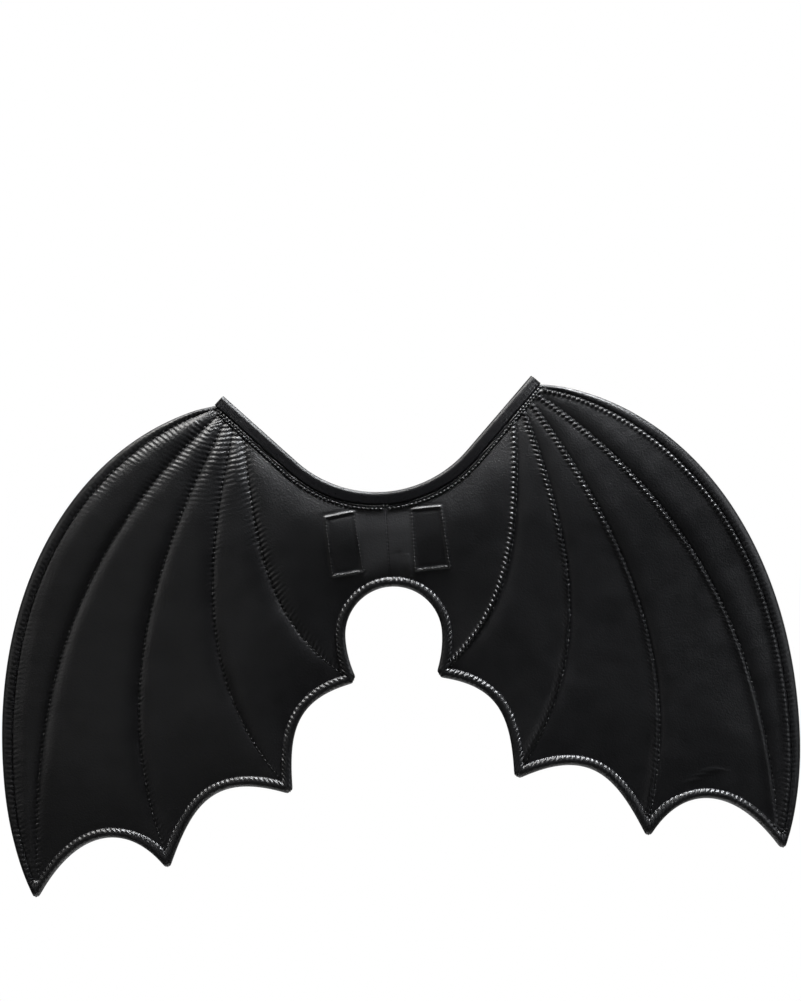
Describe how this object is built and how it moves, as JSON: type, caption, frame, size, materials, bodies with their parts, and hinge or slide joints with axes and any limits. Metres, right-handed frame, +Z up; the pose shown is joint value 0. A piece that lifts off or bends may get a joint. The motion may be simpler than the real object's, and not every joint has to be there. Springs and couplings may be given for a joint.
{
  "type": "costume bat wings",
  "caption": "Black quilted faux-leather bat wings worn on the back, with sewn ribs, scalloped lower edges, a bound neck scoop and elastic arm loops.",
  "frame": {"origin": "where the wings sit on the middle of the upper back: the centre seam, level with the middle of the stitched boxes, on the inner face", "axes": "+Z up the back, +X to the wearer's right, along the span, +Y forward into the wearer's back"},
  "size_m": [0.6664, 0.1222, 0.4087],
  "materials": {
    "wing_leather": "black faux leather, satin, fine grain, quilted over thin padding",
    "binding_tape": "black folded tape, matt with a soft sheen",
    "strap_elastic": "black woven flat elastic, matt, fine ribs"
  },
  "bodies": {
    "root": {"wing_left": "wing_leather", "wing_right": "wing_leather", "neck_binding": "binding_tape", "strap_left": "strap_elastic", "strap_right": "strap_elastic"}
  },
  "joints": []
}
